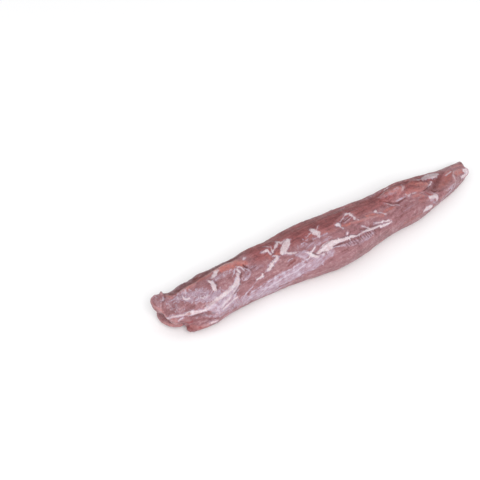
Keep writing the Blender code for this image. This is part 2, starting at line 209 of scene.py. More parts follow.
SILVER = {
    "knob's face": stroke((155, 298, 6), (158, 301, 8), (159, 305, 5), soft=3, cover=0.4),
    "knob's light side": stroke((163, 296.6, 1.6), (163.6, 299.2, 2), (161.4, 302, 1.4), cover=0.8),
    "flap's face": stroke((166, 300, 6), (170, 306, 9), (178, 310, 8), (188, 309, 5), soft=4, cover=0.36),
    "haze, left": stroke((174, 300, 8), (182, 296, 12), (191, 296, 14), (200, 295, 14), soft=5, ragged=2.4,
        cover=0.66),
    "haze, right": stroke((200, 294, 12), (208, 296, 13), (214, 296, 11), (220, 292, 7), soft=4, ragged=2.5,
        cover=0.76),
    "haze by blob": stroke((214, 280, 6), (230, 271, 6), soft=4, cover=0.5),
    "streaks under curl a": thin((232.6, 276.6), (234.2, 272), (234.6, 268.2), wide=1.5),
    "band's own film": stroke((204, 310, 3), (220, 302, 10), (229, 296, 10), (235, 288, 7), (238, 278, 5),
        soft=2, ragged=1, lift=0.2),
    "film below ribbon": stroke((214, 311, 6), (222, 307, 8), (232, 300, 8), soft=3, ragged=2, cover=0.9),
    "low side of head": stroke((220, 314, 7), (232, 307, 9), (244, 300, 9), (250, 296, 7), soft=3, ragged=2,
        cover=0.64),
    "above lobe": stroke((196, 317, 2.6), (204, 315, 4), (214, 316, 4), (222, 315, 5), soft=2.6, ragged=1.4,
        cover=0.6),
    "below cut": thin((178, 321.2), (181, 318.8), (184.2, 317.4), wide=1.4, cover=1.1),
    "loop": stroke((244.6, 268.4, 1.2), (247.6, 269.4, 1.8), (250.4, 272, 2), (249.4, 275.6, 2.2),
        (246.6, 279, 2.2), (243.4, 280.6, 1.4), (242, 278.6, 1.2), lift=0.3, cover=0.95),
    "loop's fill": stroke((247, 272, 4), (245, 277, 4), soft=2, cover=0.6),
    "veil, upper edge": stroke((246, 297, 2), (254, 291, 2.4), (264, 286, 2.6), (269, 282, 3), (281, 275, 4),
        (295, 269, 4), (303, 263, 4), soft=2, ragged=1, cover=0.86),
    "veil, body": stroke((240, 304, 6), (252, 297, 9), (266, 289, 11), (280, 282, 11.4), (294, 274.6, 11),
        (308, 267, 10.6), (321, 261.6, 7.6), soft=4, ragged=2, cover=0.81),
    "veil's low rim": stroke((246, 302, 3), (256, 298, 4), (266, 294, 5), (278, 289, 5), (290, 283, 2.4),
        soft=2.4, cover=0.7),
    "film by cross": stroke((298, 254, 6), (306, 255, 9), (314, 259, 10), (324, 257, 8), (333, 252, 5),
        soft=3, ragged=1.6, cover=0.8),
    "film over cross": stroke((298, 247, 4), (306, 246, 6), (315, 244, 6), (332, 237, 3), soft=3, ragged=1.8,
        cover=0.5),
    "loops of middle a": thin((287.8, 262), (290, 259.4), (293, 258.8), cover=0.95),
    "line under groove": thin((329.6, 248.8), (337, 246.4), (342.6, 245.4), wide=1.1, cover=1.15),
    "film under comb": stroke((340, 245, 2), (347, 245, 5), (357, 242, 6), (367, 237, 6), (374, 232, 4),
        soft=2, cover=0.62),
    "film round right end": stroke((374, 225, 2), (381, 223, 4), (388, 222, 3), soft=2, cover=0.6),
    "film on torn piece": stroke((381, 198, 4), (394, 192, 7), (399, 189, 4), soft=3, cover=0.46),
    "film in tear": stroke((396.6, 201, 1.4), (401, 198.6, 2), (405.4, 196.2, 1.4), cover=0.85),
    "right of flap": stroke((398, 215, 2), (414, 205, 3), soft=2.6, cover=0.3),
    "tail fold": stroke((441.4, 200.8, 1), (450.1, 190.6, 1.8), (452.8, 186.4, 1.4), lift=0.3, cover=1.2),
    "tail fold, upper": stroke((446, 191, 1), (451, 187, 2.4), (454, 184, 2), soft=1.6, cover=0.75),
    "tail's low side": stroke((436, 206, 2), (444, 198, 4), (453, 189, 4), (459, 183, 2), soft=2.4,
        cover=0.55),
    "bare muscle": stroke((326, 266, 5), (365, 245, 11), (402, 224, 7), soft=8, cover=0.2),
    "near lobe": stroke((203, 322, 3), (210, 321, 4.6), (218, 319, 4), soft=2.4, cover=0.3),
    "by ridge": stroke((246, 266, 4), (254, 268, 7), (262, 266, 5), soft=4, cover=0.46),
    "below crevice": stroke((427, 200, 3), (432, 200, 5), (436, 204, 3), soft=3, cover=0.5),
    "veil strand a": thin((276.6, 281.5), (266.1, 289.2), (259.1, 295.5), wide=1.7, cover=1.35),
    "veil strand b": thin((262.6, 289.9), (275.2, 283.6), (286.4, 275.9), (296.2, 271.7), (306, 264),
        wide=1.6, cover=1.35),
    "veil's edge strand": thin((250, 293.6), (256.3, 289.2), (308.8, 258.4), cover=1.2),
    "hair below streak": thin((257, 280.6), (252, 287), (246, 294), (243, 299), (239, 304), wide=1.3),
    "film under burst": stroke((313, 239.6, 2), (320, 236.6, 3), (327, 233.8, 2), soft=1.6, ragged=1.2,
        cover=0.7),
    "curls over cross a": thin((301.4, 244.4), (304, 242.6), (307.4, 243.8), wide=1.6, cover=1.15),
    "curls over cross b": thin((303, 239.6), (306, 240.6), (308.6, 239)),
}

SALMON = {
    "lump at notch": stroke((166.4, 296, 2.4), (169, 296.8, 3.6), (172, 298, 2.4), soft=1.4),
    "ridge, left": stroke((174, 295, 3), (187, 290, 4), soft=2.4, cover=0.75),
    "ridge, middle": stroke((188, 288, 4), (203, 278, 6), (210, 274, 5), soft=3, cover=0.8),
    "ridge, right": stroke((212, 272, 4), (221, 269, 8), (229, 266, 11), (237, 263, 11), (244, 263, 5),
        soft=4, ragged=1.4, cover=1.3),
    "cut edge": stroke((153, 304.4, 1.2), (156, 307.4, 1.8), (161.7, 310.7, 2.2), (167, 317.4, 1.8),
        soft=1.2, cover=0.6),
    "below line": stroke((171.6, 319, 2.2), (174.8, 319.2, 2.4), (176, 321.6, 2.2), soft=1.2, cover=0.5),
    "under flap's rim": stroke((158.4, 319.2, 1.6), (163, 322.8, 2.2), (170, 325, 2.6), (178, 325.2, 2.4),
        (184, 324.4, 2), soft=1.4, cover=0.5),
    "near lobe's lower side": stroke((192, 326, 3), (198, 328, 3), (204, 328, 4), (211, 326, 3), soft=1.6,
        cover=0.5),
    "patch under arrow": stroke((265, 254, 2), (269, 256, 4), (271, 259, 3), soft=2.6, cover=0.5),
    "spot by leaf": stroke((275.6, 255.4, 3), (278, 253.4, 4.4), (281.4, 251, 3), soft=1.4),
    "under burst": stroke((306, 238.8, 2), (309.6, 236.6, 2.6), (313, 233.8, 2), soft=1.4, cover=0.7),
    "right of burst": stroke((321, 233, 2), (333, 230, 3), soft=2.6, cover=0.5),
    "pocket's floor": stroke((341, 225.8, 2), (344.6, 226, 3), (349.6, 224, 2.4), soft=1.2),
    "band to dot": stroke((350, 223.4, 1.4), (357.7, 222, 2.2), (374.6, 215.8, 2.4), (381, 215.2, 2.4),
        soft=1.8, cover=0.5),
    "red above band": stroke((366.6, 216.6, 2.4), (371, 215, 3), (375, 213.8, 2), soft=1.2),
    "under rim": stroke((377, 215, 3), (383, 215, 3), soft=1.6, cover=0.8),
    "flap's inside": stroke((384, 212, 2), (388, 209.6, 3), (393.6, 207, 3), soft=1.2),
    "torn piece, left": stroke((380, 198, 2), (385, 194, 6), (391, 191, 8), (397, 189, 8), soft=3.4,
        ragged=1.2),
    "second piece": stroke((409, 184, 3), (415, 184, 6), (422, 184, 6), (427, 184, 3), soft=1.8, ragged=1.2),
    "second piece, low": stroke((406, 193, 4), (412, 190, 5), (419, 190, 5), (425, 187, 3), soft=3,
        cover=0.6),
    "lumps under crevice": stroke((413, 197, 2.4), (418, 195, 3), (423, 196, 2.6), soft=1.8, cover=0.6),
    "pink by fat": stroke((420, 202, 3), (427, 199, 4), (433, 201, 4), soft=2.6, cover=0.3),
    "valley's right wall": stroke((438, 188, 3), (444, 183, 7), (448, 178, 8), (450, 173, 6), soft=6,
        cover=0.9),
    "tip": stroke((456, 174, 4), (460, 171, 6), (463, 171, 3), soft=2, cover=0.9),
    "tip's upper side": stroke((452, 167.4, 2), (458, 165.4, 3), (462.4, 165.4, 2), soft=1.4, cover=0.7),
    "low edge, right": stroke((404, 224, 2.4), (418, 216, 2.4), (434, 205, 2), soft=2, cover=0.4),
}

BLOOD = {
    "on ribbon at cut": stroke((186.2, 314.5, 1.6), (189.8, 313.4, 2), ragged=0.6, cover=0.95),
    "knob's lower end": stroke((150.8, 302, 1.6), (151.2, 305.6, 2.4), (153.4, 308.4, 2.6),
        (156.4, 309.6, 1.6), soft=1.2, cover=0.72),
    "streak of middle": stroke((287.6, 266.4, 1), (290.7, 263.4, 2), (298.6, 257.2, 0.8), soft=1, cover=0.5),
    "at crevice": stroke((426.6, 193.4, 1.6), (429.7, 195, 2), (432.6, 194.4, 1.6)),
    "under lumps": stroke((418.5, 200.8, 0.9), (425.8, 195.8, 1.2), cover=0.6),
    "near lobe's face": stroke((188.4, 328.6, 3), (190, 329.4, 3.6), (206, 326.6, 1), soft=1.2, cover=0.68),
    "crevice by lobe": stroke((185.4, 322.2, 1.6), (188.6, 322.6, 2.6), (192, 321.6, 1.6), soft=1,
        cover=0.85),
    "tail's upper edge": stroke((424, 175, 1), (450, 166, 3), (462, 163, 3), soft=2, cover=0.42),
    "ridge, middle": stroke((198, 282, 3), (205, 277, 4), (212, 273, 3), soft=2.6, cover=0.22),
    "valley's wall": stroke((438, 187, 5), (447, 178, 8), (450, 172, 4), soft=4, cover=0.2),
    "leaf": stroke((283, 251, 4), (286, 244, 5), soft=2, cover=0.14),
}

SHADE = {
    "crease of knob": stroke((165, 295, 1.2), (165, 298, 1.6), (163, 302, 2), (163, 310, 1.2), soft=2,
        ragged=0.3, lift=-0.5, cover=0.42),
    "red hollow of flap": stroke((167, 311, 3), (169, 313, 4), (172, 312, 3), soft=2.2, cover=0.42),
    "line above band": thin((203, 307.4), (212.4, 303), (215.8, 301), wide=1.5, soft=1, lift=-0.3,
        cover=0.4),
    "right of band": thin((234.6, 293.8), (240.2, 284.6), (240.6, 281), soft=1, lift=-0.4, cover=0.55),
    "right of finger": thin((214.8, 280.8), (217, 285.4), (217.6, 288.4), wide=1.6, soft=1, lift=-0.3,
        cover=0.5),
    "cavity by curl": stroke((243.4, 265.4, 1.6), (245, 266.8, 2.2), (247.2, 268, 1.4), soft=1, lift=-0.8,
        cover=0.85),
    "line by loop": thin((241.6, 272.8), (241, 275.6), (240.4, 278), wide=1.4, soft=0.8, lift=-0.4,
        cover=0.85),
    "recess under ribbon": stroke((195, 316, 2.6), (200, 315.4, 4), (214, 313, 2), soft=2, lift=-0.4,
        cover=0.6),
    "under flap's face": stroke((157.4, 314, 3.6), (160.4, 317, 4.6), (171, 322.4, 3), soft=1.6, cover=0.42),
    "streak of middle": stroke((287.8, 266.2, 1.2), (290.8, 263.4, 2.2), (295.2, 260.2, 1.6), soft=1.2,
        lift=-0.3, cover=0.55),
    "dark spot of cross b": thin((312.6, 252.6), (315.4, 254), (318, 255), wide=1.3, soft=0.8, lift=-0.4,
        cover=0.8),
    "above thick ribbon": thin((321, 248), (331.2, 239.4), (337, 239), wide=1.4, soft=1.1, lift=-0.3,
        cover=0.5),
    "groove under ribbon": stroke((333.2, 246.4, 1), (337.4, 244.8, 1.8), (346, 241.4, 0.9), ragged=0.3,
        lift=-0.7, cover=0.75),
    "above ribbon": thin((340, 238), (350, 234.9), (357, 234.6), (361, 231.4), wide=1, soft=1, ragged=0.3,
        lift=-0.3, cover=0.45),
    "between branches": stroke((360, 229.6, 2.2), (364.6, 228.8, 2.6), (368.4, 229, 1.2), soft=1.4,
        lift=-0.4, cover=0.5),
    "hollow above right end": stroke((370, 227, 2), (379, 224.6, 1.4), soft=1.4, lift=-0.3, cover=0.42),
    "inside pocket": stroke((341.4, 222.4, 1.6), (344.6, 220.2, 2.6), (347.9, 218, 1.6), soft=1.4, lift=-0.8,
        cover=0.5),
    "tear below torn piece": stroke((379.6, 200.8, 0.9), (392.5, 203.4, 1.5), (398, 203, 2),
        (405.6, 198, 1.2), soft=1.3, ragged=0.4, lift=-0.6, cover=0.62),
    "notch on top edge": stroke((404.2, 182.9, 1.6), (406.8, 182.4, 2.2), (408.6, 180.8, 1.2), soft=1,
        lift=-0.5, cover=0.75),
    "crevice": thin((423.6, 191), (427.4, 188.2), (430.4, 185.6), wide=1.6, ragged=0.4, lift=-0.8,
        cover=0.85),
    "pit": stroke((431.6, 190.4, 1.4), (434.4, 191.6, 2), (437.2, 190.6, 1.2), lift=-0.9, cover=0.95),
    "valley": stroke((434, 188, 5), (436, 184, 7), (438, 180, 6), (441, 177, 4), soft=6, lift=-0.5,
        cover=0.82),
    "outer rim of tail": stroke((465, 178.4, 1.4), (456.6, 188, 1.8), (446, 198.6, 1.8), (438, 205.6, 1.4),
        soft=1.2, cover=0.5),
    "top of loin": stroke((252, 250, 5), (268, 242, 8), (300, 228, 8), soft=6, cover=0.26),
    "top of middle": stroke((296, 235, 7), (312, 226, 9), (330, 220, 9), (346, 210, 6), soft=6, cover=0.38),
    "above pocket": stroke((322, 227, 4), (332, 222, 6), (340, 217, 5), soft=3, cover=0.3),
    "near lobe's corner": stroke((188, 327, 2), (190, 330, 5), (195, 330, 5), soft=1.6, cover=0.34),
    "red of second piece": stroke((409, 187, 4), (416, 187, 6), (424, 186, 5), soft=2.4, cover=0.34),
    "knob's face": stroke((155, 300, 6), (159, 303, 6), soft=3, cover=0.26),
    "tail's upper edge": stroke((408, 180, 1), (450, 166, 3), (462, 163, 3), soft=2, cover=0.42),
    "ridge, middle": stroke((196, 283, 3), (204, 278, 5), (211, 274, 4), soft=2.4, cover=0.3),
    "gap in thick ribbon": thin((320.4, 253.2), (323, 252.2), (325.6, 251.2), soft=0.8, cover=0.5),
    "valley's wall": stroke((438, 190, 4), (444, 183, 7), (449, 175, 5), soft=4, cover=0.24),
    "floor of crevice": stroke((427, 190, 2), (431, 189, 4), (434, 190.4, 3), soft=1.6, cover=0.6),
    "flesh above cross": stroke((282, 265, 5), (294, 256, 5), (303, 249, 6), soft=5, cover=0.14),
    "tail, middle": stroke((402, 210, 5), (411, 206, 6), (420, 203, 4), soft=4, cover=0.14),
}

# The same by place: dark brown painted shade on the far side, where the flesh behind the ridge faces away
# from the light, and along the top's outline, where it turns from the light.
FAR_SHADE = {
    "far strip": stroke((20, 138, 7), (31, 142, 11), (39, 143, 12), (51, 145, 10), soft=2.6, ragged=0.8,
        cover=0.85),
    "far strip, right": stroke((50, 143, 8), (77, 142, 7), (93, 139, 4), soft=2.4, ragged=0.8, cover=0.85),
    "behind far strip": stroke((14, 158, 12), (40, 166, 16), (80, 160, 14), (110, 150, 6), soft=8, ragged=2,
        cover=0.4),
    "rim of middle": stroke((96, 127, 5), (121, 127, 7), (153, 134, 7), (185, 135, 7), (204, 131, 7),
        (220, 120, 7), (258, 119, 7), (276, 109, 7), (297, 120, 7), (320, 128, 5), soft=3, cover=0.42),
}

# Relief alone: pieces of meat that stand above the rest, and folds.
MEAT = {
    "knob's spike": stroke((160.8, 292.8, 2.4), (161.4, 294.4, 2.8), soft=1.2, ragged=0.1, lift=2.2),
    "ridge of head": stroke((168, 298, 4), (188, 289, 5), (200, 280, 5), (223, 267, 5), (236, 262, 5),
        (243, 263, 3), soft=3, ragged=0.9, lift=0.8),
    "ridge's lump": stroke((189, 287, 3), (192, 285, 3), soft=2, ragged=0.6, lift=0.7),
    "cut edge": stroke((155, 307, 2), (162, 311, 2.4), (168, 318, 2), soft=2, lift=0.6),
    "lobe's upper edge": stroke((189, 324, 2), (196, 322, 2.4), (205, 321, 2), soft=2, ragged=0.6, lift=0.6),
    "banks of pocket": stroke((334, 224, 3), (344, 213, 4), soft=3, lift=0.6),
    "right bank of pocket": stroke((352, 214, 4), (357, 218, 4), (361, 219, 3), soft=3, lift=0.6),
    "band to dot": stroke((350, 223, 2), (357, 221, 3), (381, 215, 2.4), soft=2, lift=0.7),
    "flap of low tear": stroke((386, 214, 2), (391, 211, 3), (396, 207, 2.6), soft=2, lift=0.8),
    "torn piece": stroke((381, 197, 4), (392, 191, 11), (398, 189, 11), (402, 188, 7), soft=4, ragged=0.8,
        lift=1.2),
    "second piece": stroke((409, 186, 5), (415, 186, 7), (422, 185, 7), (427, 184, 4), soft=4, lift=0.6),
    "lumps under crevice": stroke((413, 197, 4), (418, 195, 5), (424, 196, 4), soft=2.4, lift=0.8),
    "fat below crevice": stroke((431, 198, 4), (434, 197, 6), (437, 197, 4), soft=3, lift=0.8),
    "bank under patch": stroke((421, 180, 3), (429, 178, 5), (436, 176, 4), soft=3, lift=0.7),
    "valley's right wall": stroke((444, 192, 3), (454, 182, 4), (454, 172, 3), soft=3, lift=0.9),
    "tail's tip": stroke((456, 171, 4), (460, 170, 5), (463, 170, 3), soft=3, lift=0.6),
    "cut's bottom": stroke((172, 324.4, 3), (178, 324.6, 4), (183, 323.4, 5), (186.4, 323.4, 4), soft=2.2,
        lift=1.6),
    "knob's rim": stroke((152, 303, 2), (152, 299, 2), (155.6, 294.4, 2.6), (160, 292, 2), soft=2, lift=1),
    "lobe's corner": stroke((188.4, 329, 3), (190.4, 330, 3), soft=1.4, lift=1.5),
    "lobe's underside": stroke((203, 326.4, 3), (217, 319.6, 3), soft=3, lift=1.4),
}

# The comb: short dark notches that hang from the ribbon's lower edge. Lengths are in pixels.
COMB_SEED = 7
COMB_START = (345.0, 243.0)
COMB_END = (374.6, 229.8)
COMB_TEETH = 14
COMB_TOOTH = (3.0, 3.4)  # from a tooth's top to its tip
COMB_WIDTH = 1.45
COMB_TIP = 0.6  # width of the tip, as a share of the width
COMB_ASIDE = (-0.7, 0.7)  # how far a tooth strays from its place
COMB_DOWN = (-0.6, 0.5)
COMB_LENGTHS = (0.8, 1.5)  # shares of the tooth above
COMB_TAPER = (1.25, 0.5)  # the same at the left end, and what is lost on the way to the right
COMB_COVER = (0.6, 1.05)

# The sides that the photograph doesn't show, by place.
HIDDEN_SEED = 4
HIDDEN_FLECKS = 46
HIDDEN_STRANDS = 60
HIDDEN_RANGE = (132, 330)  # degrees round the loin
SMEAR_EVERY = 3  # flecks to one smear
TIP_END = 345  # mm along, where the strands end
HIDDEN_VEILS = {
    "back veil, head": stroke((24, 150, 8), (60, 165, 16), (110, 176, 14), soft=8, ragged=3, cover=0.5),
    "back veil, middle": stroke((120, 176, 12), (180, 168, 16), (240, 166, 10), soft=8, ragged=3,
        cover=0.42),
    "underside veil": stroke((60, 300, 20), (150, 290, 26), (260, 290, 20), soft=10, ragged=4, cover=0.4),
}


def comb_notches():
    """The comb's teeth as strokes, each a little different."""
    wobble = random.Random(COMB_SEED)
    teeth = {}
    for k in range(COMB_TEETH):
        share = k / (COMB_TEETH - 1)
        x = COMB_START[0] + share * (COMB_END[0] - COMB_START[0]) + wobble.uniform(*COMB_ASIDE)
        y = COMB_START[1] + share * (COMB_END[1] - COMB_START[1]) + wobble.uniform(*COMB_DOWN)
        long = wobble.uniform(*COMB_LENGTHS) * (COMB_TAPER[0] - COMB_TAPER[1] * share)
        tip = (x + COMB_TOOTH[0] * long, y + COMB_TOOTH[1] * long, COMB_WIDTH * COMB_TIP)
        teeth[f"tooth {k}"] = stroke((x, y, COMB_WIDTH), tip, soft=0.8, ragged=0.3, lift=-0.5,
                                     cover=wobble.uniform(*COMB_COVER))
    return teeth


def hidden_strokes():
    """Flecks of fat, strands of silver skin and salmon smears for the far side, the ends and below."""
    draw = random.Random(HIDDEN_SEED)
    fat, silver, salmon = {}, {}, {}
    for k in range(HIDDEN_FLECKS):
        along, around = draw.uniform(30, 335), draw.uniform(*HIDDEN_RANGE)
        length, climb = draw.uniform(3, 16), draw.uniform(-6, 14)
        wide = draw.uniform(0.7, 2.6)
        bend = draw.uniform(-4, 4)
        fat[f"fleck {k}"] = stroke(
            (along, around, wide * 0.3), (along + length / 2, around + climb / 2 + bend, wide),
            (along + length, around + climb, wide * 0.3),
            ragged=0.9, lift=0.35, cover=draw.uniform(0.5, 0.85))
        if k % SMEAR_EVERY == 0:
            salmon[f"smear {k}"] = stroke(
                (along - 5, around - 6, 3), (along + length, around + climb + 4, 7), soft=3.5, cover=0.75)
    for k in range(HIDDEN_STRANDS):
        along, around = draw.uniform(20, 300), draw.uniform(*HIDDEN_RANGE)
        length, climb = draw.uniform(18, 60), draw.uniform(0, 26)
        wide = draw.uniform(0.6, 1.2)
        silver[f"strand {k}"] = stroke(
            (along, around, 0.4), (along + length * 0.4, around + climb * 0.5, wide),
            (min(along + length, TIP_END), around + climb, 0.4), lift=0.15, cover=draw.uniform(0.5, 0.9))
    return fat, silver | HIDDEN_VEILS, salmon


# The relief. A pair is where a thing starts and where it is full, in mm or in shares of cover.
LUMPS = ((11.0, 0.42), (4.5, 0.18))  # size and height
CRUMPLES = ((3.0, 0.2), (1.7, 0.12))  # the same, where the flesh is torn or covered with skin
CRUMPLED = (0.2, 0.6)  # cover of silver skin and salmon
WRINKLE_SIZE = 3.2
WRINKLE_BEND = (7, 3.0)  # size and reach of the wrinkles' bends
WRINKLE_LINE = 0.12
WRINKLE_LIFT = 0.32
WRINKLED_SKIN = ((0.25, 0.5), (0.85, 0.65))  # wrinkles come and go with the silver skin's cover
WRINKLED_HEAD = (95, 75)  # mm along
BARE_BASE = (0, 3.0)  # mm above the underside, which stays flat
GRAIN_LENGTH = 22.0
GRAIN_WIDTH = 2.2
GRAIN_HEIGHT = 0.1
VEIL_LENGTH = 36.0
VEIL_WIDTH = 2.0

# How strokes are laid.
STEEPEST = 1.9  # length over which a raised stroke comes up
SLOPE_SPARE = 0.6  # how much longer that may be than half a narrow stroke
SLOPE_OUTSIDE = 0.4  # the share of it outside the stroke's edge
EDGE_SIZES = (2.2, 0.9)  # of the bends and the nicks in a ragged edge
NICKS = 0.8  # depth of the nicks, as a share of the bends'
PATCH_SIZE = 3.4
PATCHY = 0.45  # how uneven the strokes' cover is
REACH_SPARE = 0.5  # mm beyond the farthest point that a stroke colours
OUTSIDE = 80  # a distance that is surely out of the loin
HALO_WIDTH = 2.2
HALO_SOFT = 1.8
HALO_COVER = 0.7
BOX_SPARE = (0.1, 0.8, 0.8)  # how far the details may stand out of the solid's box, by axis

# The darker, redder top: partly the flesh's own colour, partly painted shade where the top turns from the
# light. It comes and goes round the loin in degrees, and along it.
TOP_AROUND = ((62, 92), (200, 160))
TOP_ALONG = ((88, 102), (330, 300))
TOP_COVER = 0.75
HOLLOW_ROUNDS = 6
HOLLOW_DEPTH = 0.25


def direction(azimuth, elevation):
    """The unit vector from the loin towards a light or camera that stands there."""
    turn, rise = math.radians(azimuth), math.radians(elevation)
    return Vector((math.sin(turn) * math.cos(rise), -math.cos(turn) * math.cos(rise), math.sin(rise)))


class Photo:
    """The photograph's camera: its axes, where it stands, and the ray through each pixel."""

    def __init__(self):
        turn = math.radians(AZIMUTH)
        self.back = direction(AZIMUTH, ELEVATION)
        self.right = Vector((math.cos(turn), math.sin(turn), 0))
        self.up = self.back.cross(self.right)
        self.focal = LENS / SENSOR * PIXELS
        aside = (AIM_PIXEL[0] - PIXELS / 2) / self.focal * DISTANCE
        above = (PIXELS / 2 - AIM_PIXEL[1]) / self.focal * DISTANCE
        self.eye = AIM + self.back * DISTANCE - self.right * aside - self.up * above

    def ray(self, x, y):
        across, down = x - PIXELS / 2, y - PIXELS / 2
        return (self.right * across - self.up * down - self.back * self.focal).normalized()


class Skin:
    """The flesh mesh as arrays in millimetres, with what is needed to paint on it."""

    def __init__(self, mesh):
        self.mesh = mesh
        self.points = self.vectors("co") / MM
        pairs = np.empty(len(mesh.edges) * 2, int)
        mesh.edges.foreach_get("vertices", pairs)
        self.ends = pairs.reshape(-1, 2).T
        self.neighbours = np.bincount(self.ends.ravel(), minlength=len(self.points))
        self.photo = Photo()

    def vectors(self, field):
        """A vector field of the vertices, as rows."""
        flat = np.empty(len(self.mesh.vertices) * 3)
        self.mesh.vertices.foreach_get(field, flat)
        return flat.reshape(-1, 3)

    def mean_of_neighbours(self, values):
        a, b = self.ends
        count = len(self.points)
        if values.ndim == 1:
            return (np.bincount(a, values[b], count) + np.bincount(b, values[a], count)) / self.neighbours
        return np.stack([self.mean_of_neighbours(column) for column in values.T], axis=-1)

    def smooth(self):
        """Takes the solid's facets off without shrinking it."""
        for _ in range(SMOOTHING_ROUNDS):
            for share in (SMOOTHING_OUT, SMOOTHING_BACK):
                self.points += share * (self.mean_of_neighbours(self.points) - self.points)

    def write_points(self):
        low, high = (np.array(corner) / MM for corner in CAD_BOX)
        self.points = np.clip(self.points, low - (*BOX_SPARE[:2], 0), high + BOX_SPARE)
        self.mesh.vertices.foreach_set("co", (self.points * MM).ravel())
        self.mesh.update()

    def measure(self):
        """Normals, the middle line of the loin, each vertex's place on it, and the tree that rays hit."""
        self.write_points()
        self.normals = self.vectors("normal")
        polygons = [tuple(p.vertices) for p in self.mesh.polygons]
        self.tree = BVHTree.FromPolygons([tuple(p) for p in self.points], polygons)
        x, y, z = self.points.T
        self.start = x.min()
        self.slices = np.arange(x.min() + SLICE, x.max() - SLICE, SLICE)
        near = [np.abs(x - at) < SLICE for at in self.slices]
        self.middle_y = np.array([(y[n].min() + y[n].max()) / 2 for n in near])
        self.middle_z = np.array([z[n].max() / 2 for n in near])
        off_y, off_z = y - self.middle(x)[0], z - self.middle(x)[1]
        self.along = x - self.start
        self.around = np.degrees(np.arctan2(off_z, -off_y)) % 360

    def middle(self, x):
        return np.interp(x, self.slices, self.middle_y), np.interp(x, self.slices, self.middle_z)

    def at_pixel(self, x, y):
        """Where the surface shows at a pixel of the photograph, or None beside it."""
        return self.tree.ray_cast(self.photo.eye, self.photo.ray(x, y))[0]

    def at_place(self, along, around):
        """The outermost point of the surface at a place on the loin."""
        x = along + self.start
        y, z = self.middle(x)
        out = Vector((0, -math.cos(math.radians(around)), math.sin(math.radians(around))))
        return self.tree.ray_cast(Vector((x, y, z)) + out * OUTSIDE, -out)[0]

    def laid_path(self, path, find):
        """The path on the surface as rows of x, y, z and width, with points close together."""
        rows = []
        for (x0, y0, w0), (x1, y1, w1) in zip(path, path[1:]):
            steps = max(2, math.ceil(math.hypot(x1 - x0, y1 - y0) / PATH_STEP))
            for k in range(steps + 1):
                share = k / steps
                hit = find(x0 + (x1 - x0) * share, y0 + (y1 - y0) * share)
                if hit is not None:
                    rows.append((*hit, w0 + (w1 - w0) * share))
        return np.array(rows)

    def inside(self, mark, find):
        """(indices, mm inside the stroke's edge, half width) of the vertices that a stroke may reach."""
        path = self.laid_path(mark.path, find)
        if len(path) < 2:
            return np.zeros(0, int), np.zeros(0), np.ones(0)
        reach = path[:, 3].max() / 2 + mark.soft + mark.ragged + REACH_SPARE
        low, high = path[:, :3].min(0) - reach, path[:, :3].max(0) + reach
        found = np.flatnonzero(((self.points > low) & (self.points < high)).all(axis=1))
        start, step = path[:-1, :3], np.diff(path[:, :3], axis=0)
        squared = np.maximum((step ** 2).sum(1), 1e-9)
        nearest = np.full(len(found), np.inf)
        half = np.zeros(len(found))
        for s, d, q, w0, w1 in zip(start, step, squared, path[:-1, 3], path[1:, 3]):
            share = np.clip((self.points[found] - s) @ d / q, 0, 1)
            gap = np.linalg.norm(self.points[found] - s - share[:, None] * d, axis=1)
            closer = gap < nearest
            nearest = np.where(closer, gap, nearest)
            half = np.where(closer, (w0 + (w1 - w0) * share) / 2, half)
        return found, half - nearest, half

    def noise(self, size, seed=0.0, points=None):
        """Smooth random values from about -1 to 1, with hills of the given size."""
        at = (self.points if points is None else points) / size + seed
        return np.array([noise.noise(p) for p in at.tolist()])


def ramp(values, start, end):
    """0 at the start and 1 at the end, with soft ends. It falls where the end is the lower one."""
    t = np.clip((values - start) / (end - start), 0, 1)
    return t * t * (3 - 2 * t)


def paint(skin, marks, find, amount, height, edge):
    """Adds strokes to a layer: amount is the layer's cover from 0 to 1, height is in mm."""
    for mark in marks.values():
        found, within, half = skin.inside(mark, find)
        within = within + mark.ragged * edge.rough[found]
        cover = mark.cover * ramp(within, -mark.soft / 2, mark.soft / 2) * edge.patchy[found]
        amount[found] = np.maximum(amount[found], cover)
        if mark.lift:
            slope = np.minimum(half + SLOPE_SPARE, max(STEEPEST, mark.soft))
            rise = mark.lift * ramp(within, -SLOPE_OUTSIDE * slope, (1 - SLOPE_OUTSIDE) * slope)
            chosen = np.abs(rise) > np.abs(height[found])
            height[found] = np.where(chosen, rise, height[found])


def halos(marks):
    """The thin film of silver skin that surrounds each strand of fat, as strokes."""
    return {name: mark._replace(path=tuple((x, y, wide + HALO_WIDTH) for x, y, wide in mark.path),
                                soft=HALO_SOFT, ragged=1.0, lift=0.0, cover=HALO_COVER * mark.cover)
            for name, mark in marks.items()}


def twisted(skin, slant, length, width):
    """Coordinates in which the fibres run straight: stretched along the loin and turned with their slant."""
    grid = np.arange(0, skin.along.max() + 2, 1.0)
    turn = np.cumsum(np.interp(grid, *zip(*slant))) / MEAN_RADIUS
    angle = np.interp(skin.along, grid, turn)
    x, y, z = skin.points.T
    middle_y, middle_z = skin.middle(x)
    off_y, off_z = -(y - middle_y), z - middle_z
    cos, sin = np.cos(angle), np.sin(angle)
    return np.stack([skin.along / length, (off_y * cos + off_z * sin) / width,
                     (off_z * cos - off_y * sin) / width], axis=-1)


def add_object(name, data):
    made = bpy.data.objects.new(name, data)
    bpy.context.scene.collection.objects.link(made)
    return made


def dense_copy(node):
    """A copy of the solid with an even, fine mesh."""
    made = add_object("tenderloin_flesh", node.data.copy())
    even = made.modifiers.new("even_mesh", "REMESH")
    even.mode = "VOXEL"
    even.voxel_size = VOXEL * MM
    graph = bpy.context.evaluated_depsgraph_get()
    dense = bpy.data.meshes.new_from_object(made.evaluated_get(graph))
    made.modifiers.clear()
    made.data = dense
    return made


